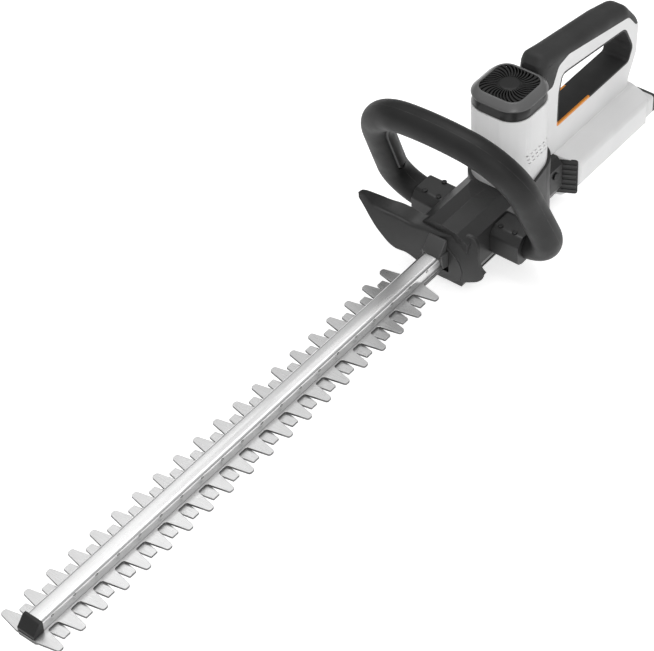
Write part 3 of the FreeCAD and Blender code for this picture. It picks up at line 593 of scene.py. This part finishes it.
# Corners of the handle's centre line in its own plane: down from the top, across, rounding.
LOOP = [(164.0, -49.4), (145.3, -90.6, 38.9), (8.1, -78.9, 59.6), (-4.3, 0, 200),
        (8.1, 78.9, 59.6), (145.3, 90.6, 38.9), (164.0, 49.4)]
LOOP_MIDDLE = Vector((80, 0))
LOOP_TOP = (548.5, 151)
LEAN = atan(0.42)
TUBE_RADIUS = 14.8
SLOT_HALF = 5.7
SLOT_FLOOR = 3.5
SLOT_END = 113


def handle_point(down, across, lift):
    """A point given in the leaning handle's own plane."""
    x, z = LOOP_TOP
    return (x + down * sin(LEAN) + lift * cos(LEAN), across, z - down * cos(LEAN) + lift * sin(LEAN))


def loop_spine(step=2.5):
    """Points down the handle's centre line with the direction towards its inside."""
    line = rounded(LOOP, step)
    dense = []
    for a, b in zip(line, line[1:]):
        parts = max(1, int((b - a).length / step))
        dense += [a + (b - a) * k / parts for k in range(parts)]
    dense.append(line[-1])
    spine = []
    for i, point in enumerate(dense):
        ahead = (dense[min(i + 1, len(dense) - 1)] - dense[max(i - 1, 0)]).normalized()
        spine.append((point, Vector((-ahead.y, ahead.x))))
    halfway, inside = spine[len(spine) // 2]
    if (LOOP_MIDDLE - halfway).dot(inside) < 0:
        spine = [(point, -inside) for point, inside in spine]
    return spine


def swept(sections):
    """Mesh of a section carried round the handle; each is (point, inside, [(inwards, lift)])."""
    rings = []
    for point, inside, section in sections:
        rings.append([handle_point(point.x + inside.x * u, point.y + inside.y * u, lift)
                      for u, lift in section])
    return loft(rings)


def half_tube(side, open_share):
    """Section of one shell of the handle; its slot opens as the share goes from 0 to 1."""
    section = []
    for k in range(25):
        angle = pi - (pi - asin(SLOT_HALF / TUBE_RADIUS) * open_share) * k / 24
        section.append((TUBE_RADIUS * cos(angle), side * TUBE_RADIUS * sin(angle)))
    edge, lift = section[-1]
    floor = edge + (SLOT_FLOOR - edge) * open_share
    section += [(floor * 0.5 + edge * 0.5, lift), (floor, lift),
                (floor, side * 0.01 + lift * 0.3), (min(floor, SLOT_FLOOR - 0.1), side * 0.01)]
    return section


def bar_section(face):
    """Section of the squeeze bar, crowned at the given distance from the centre line."""
    return [(8.2, -5.1), (face - 2.4, -5.1), (face - 0.9, -4.6), (face - 0.2, -3.2), (face, 0),
            (face - 0.2, 3.2), (face - 0.9, 4.6), (face - 2.4, 5.1), (8.2, 5.1)]


def front_handle():
    """Two smooth shells with a slot on the inside, and the squeeze bar in the slot."""
    spine = loop_spine()
    for name, side in (("front", -1), ("rear", 1)):
        sections = [(point, inside, half_tube(side, 1 - smoothstep(point.x, SLOT_END - 1, SLOT_END + 4)))
                    for point, inside in spine]
        piece(f"loop_half_{name}", swept(sections), "frame", "loop_plastic", f"loop_shell_{name}",
              bevel=0.5, angle=50, smooth=50)
    sections = [(point, inside, bar_section(12.5 + 4.2 * smoothstep(SLOT_END - point.x, -1, 6)))
                for point, inside in spine if point.x <= SLOT_END]
    piece("squeeze_strip", swept(sections), "squeeze_bar", "trigger_plastic", "front_switch_bar",
          bevel=0.3, smooth=40)


# ---- motor cap ----

MOTOR_AXIS = 662
# Height, half width and how far the corner shrinks at each step from the cap's foot to its inner lip.
CAP_PROFILE = [(125.6, 31.2, 0), (125.9, 31.8, 0), (126.8, 32.0, 0), (127.6, 31.6, 0.5), (129.6, 29.7, 2),
               (131.6, 27.4, 4), (132.9, 25.7, 5.6), (133.5, 24.7, 6.4), (133.5, 24.1, 7), (133.1, 23.6, 7)]
HUB_PROFILE = [(132.8, 10.4), (133.3, 10.2), (133.6, 9.4), (133.7, 7), (133.75, 3)]
SLOT_COUNT = 36
SLOT_CURL = 0.24
SLOT_START = 10.6


def even_square(x, half, corner, count=96):
    """Rounded square drawn with the same count of points whatever its size."""
    drawn = square(x, half, corner, 0.8)
    lengths = [0.0]
    for a, b in zip(drawn, drawn[1:] + drawn[:1]):
        lengths.append(lengths[-1] + (b - a).length)
    points = []
    spot = 0
    for k in range(count):
        goal = lengths[-1] * k / count
        while lengths[spot + 1] < goal:
            spot += 1
        a, b = drawn[spot], drawn[(spot + 1) % len(drawn)]
        points.append(a + (b - a) * (goal - lengths[spot]) / (lengths[spot + 1] - lengths[spot]))
    return points


def cap_slot(start):
    """Curved slot that widens on its way from the hub to the grille's squared edge."""
    end = start + SLOT_CURL
    limit = 23.3 / (abs(cos(end)) ** 5 + abs(sin(end)) ** 5) ** 0.2
    near, far = [], []
    for k in range(7):
        share = k / 6
        reach = SLOT_START + (limit - SLOT_START) * share
        turn = start + SLOT_CURL * share * share
        half = (0.5 + 0.68 * share) / reach
        near.append(Vector((MOTOR_AXIS + reach * cos(turn - half), reach * sin(turn - half))))
        far.append(Vector((MOTOR_AXIS + reach * cos(turn + half), reach * sin(turn + half))))
    return near + far[::-1]


def motor_cap():
    """Bevelled cap with a grille of curved slots round a plain hub, over a near-black sheet of painted
    shade.
    """
    rings = []
    for z, half, shrink in CAP_PROFILE:
        rings.append([(p.x, p.y, z) for p in even_square(MOTOR_AXIS, half, 22 - 1.5 * shrink)])
    rim = piece("cap_rim", loft(rings, ends=False), "frame", "cap_plastic", "motor_cap", smooth=60)
    # Faces of the rim that look upwards get the lighter copy: painted light on the facets.
    rim.data.materials.append(materials["cap_facet_painted_light"])
    for face in rim.data.polygons:
        face.material_index = 1 if face.normal.z > 0.3 else 0
    slots = [cap_slot(2 * pi * i / SLOT_COUNT) for i in range(SLOT_COUNT)]
    grille = slab([square(MOTOR_AXIS, 24.9, 11)] + slots, 130.6, 132.9, 0.18, PLAN, 1)
    hub = loft([[(MOTOR_AXIS + reach * cos(k * pi / 24), reach * sin(k * pi / 24), z) for k in range(48)]
                for z, reach in HUB_PROFILE])
    piece("cap_grille", joined(grille, hub), "frame", "cap_plastic", smooth=50)
    # Near-black sheet under the grille: painted shade seen through the slots.
    dark = slab([square(MOTOR_AXIS, 24.4, 11)], 127.4, 128.2, 0.2)
    piece("cap_shade_backing", dark, "frame", "shade_backing")


# ---- battery bay ----

BAY_CORNER = Vector((714, 15))
BAY_SLANT = Vector((12, 23)).normalized()
PACK_HALF = [(35.6, 6.6, 3), (35.6, -13.8, 3), (23.2, -25.4, 3)]
LATCH_ROOM = [(-14, 6.6), (-14, -1.6), (14, -1.6), (14, 6.6)]


def bay_front():
    """Slatted vent over each slanted front face of the battery bay, over a near-black panel of painted
    shade.
    """
    start = BAY_CORNER.dot(BAY_SLANT)
    face = BAY_CORNER.y * BAY_SLANT.x - BAY_CORNER.x * BAY_SLANT.y
    for name, side in (("left", -1), ("right", 1)):
        plane = Matrix(((-side * BAY_SLANT.x, 0, -BAY_SLANT.y), (-BAY_SLANT.y, 0, side * BAY_SLANT.x),
                        (0, 1, 0)))
        low, high = sorted((-side * (start + 0.5), -side * (start + 24.6)))
        # Near-black panel behind the slats: painted shade inside the vent.
        shade_panel = slab([rounded([(low, -26, 3), (high, -26, 3), (high, 15, 3), (low, 15, 3)])],
                     face - 0.6, face + 1.7, 0.2, plane)
        slats = []
        for i in range(6):
            z = -23.5 + 6.2 * i
            slats.append(slab([rounded([(low + 1.5, z, 0.6), (high - 1.5, z, 0.6),
                                        (high - 1.5, z + 2.6, 0.6), (low + 1.5, z + 2.6, 0.6)])],
                              face + 1.0, face + 2.5, 0.3, plane))
        piece(f"bay_vent_shade_backing_{name}", shade_panel, "frame", "shade_backing")
        piece(f"bay_slats_{name}", joined(*slats), "frame", "black_shell")


def battery_rear():
    """Light cover of the battery's rear end with a dark rim round it, both clear of the latch."""
    other_half = [(-y, *rest) for y, *rest in reversed(PACK_HALF)]
    whole = rounded(PACK_HALF + other_half)
    notched = rounded(PACK_HALF + other_half + LATCH_ROOM)
    cover = joined(slab([whole], 848, 853, 0.4, FRONT), slab([notched], 852.5, 860, 0.6, FRONT))
    piece("pack_cover", cover, "battery", "pack_shell", "battery_end")
    piece("pack_rim", slab([notched], 860, 863.8, 1.2, FRONT), "battery", "battery_plastic")


# ---- stage ----

CAMERA_PLACE = (-1.17009, -0.99038, 1.50795)
CAMERA_TURN = radians(41.305)
CAMERA_FALL = radians(43.788)
CAMERA_TILT = radians(3.846)
TOOL_MIDDLE = (0.1, 0, 0.05)
# Brightness of the studio's sky by height, from the horizon at 0 to straight above at 1.
SKY = [(0.0, 0.10), (0.22, 0.16), (0.5, 0.42), (1.0, 0.5)]


def camera():
    """Long lens, high on the left of the blade's tip; turned, lowered, then tilted about its own axis."""
    data = bpy.data.cameras.new("camera")
    data.sensor_width = 36
    data.lens = 129.36
    data.clip_end = 50
    made = bpy.data.objects.new("camera", data)
    bpy.context.scene.collection.objects.link(made)
    ahead = Vector((cos(CAMERA_FALL) * cos(CAMERA_TURN), cos(CAMERA_FALL) * sin(CAMERA_TURN),
                    -sin(CAMERA_FALL)))
    level = ahead.cross(Vector((0, 0, 1))).normalized()
    right = Matrix.Rotation(CAMERA_TILT, 3, ahead) @ level
    up = right.cross(ahead)
    facing = Matrix((right, up, -ahead)).transposed().to_4x4()
    made.matrix_world = Matrix.Translation(CAMERA_PLACE) @ facing
    bpy.context.scene.camera = made


def lamp(name, place, size, power):
    """Square area lamp aimed at the middle of the tool."""
    data = bpy.data.lights.new(name, "AREA")
    data.shape = "RECTANGLE"
    data.size = size
    data.size_y = size
    data.energy = power
    made = bpy.data.objects.new(name, data)
    bpy.context.scene.collection.objects.link(made)
    aim = Vector(TOOL_MIDDLE) - Vector(place)
    made.matrix_world = Matrix.Translation(place) @ aim.to_track_quat("-Z", "Y").to_matrix().to_4x4()


def pale_floor():
    """Pale floor, lit a little from within so that it stays even."""
    mesh = bpy.data.meshes.new("floor")
    bm = bmesh.new()
    bmesh.ops.create_grid(bm, x_segments=8, y_segments=8, size=6)
    bm.to_mesh(mesh)
    bm.free()
    made = bpy.data.objects.new("floor", mesh)
    bpy.context.scene.collection.objects.link(made)
    m = Recipe("floor", Roughness=0.9, Emission_Strength=0.62, Emission_Color=grey(1))
    m.colour(m.blend(m.ramp(m.noise(3, 3), 0.3, 0.7), grey(0.78), grey(0.8)))
    mesh.materials.append(m.material)


def studio():
    """Soft sky, darker towards the horizon, and two large lamps."""
    world = bpy.data.worlds.new("studio")
    world.use_nodes = True
    nodes, links = world.node_tree.nodes, world.node_tree.links
    way = nodes.new("ShaderNodeTexCoord")
    split = nodes.new("ShaderNodeSeparateXYZ")
    links.new(way.outputs["Generated"], split.inputs[0])
    sky = nodes.new("ShaderNodeValToRGB")
    sky.color_ramp.interpolation = "B_SPLINE"
    for place, level in SKY:
        stop = sky.color_ramp.elements.new(place)
        stop.color = grey(level)
    links.new(split.outputs["Z"], sky.inputs[0])
    links.new(sky.outputs[0], nodes["Background"].inputs["Color"])
    bpy.context.scene.world = world
    bpy.context.scene.view_settings.view_transform = "Standard"
    lamp("key", (-1.3, -1.5, 1.3), 0.9, 14)
    lamp("top", (0.5, 0.2, 2.0), 1.3, 12)


dress_cad()
blades()
rail()
guard()
front_handle()
motor_cap()
bay_front()
battery_rear()
camera()
pale_floor()
studio()
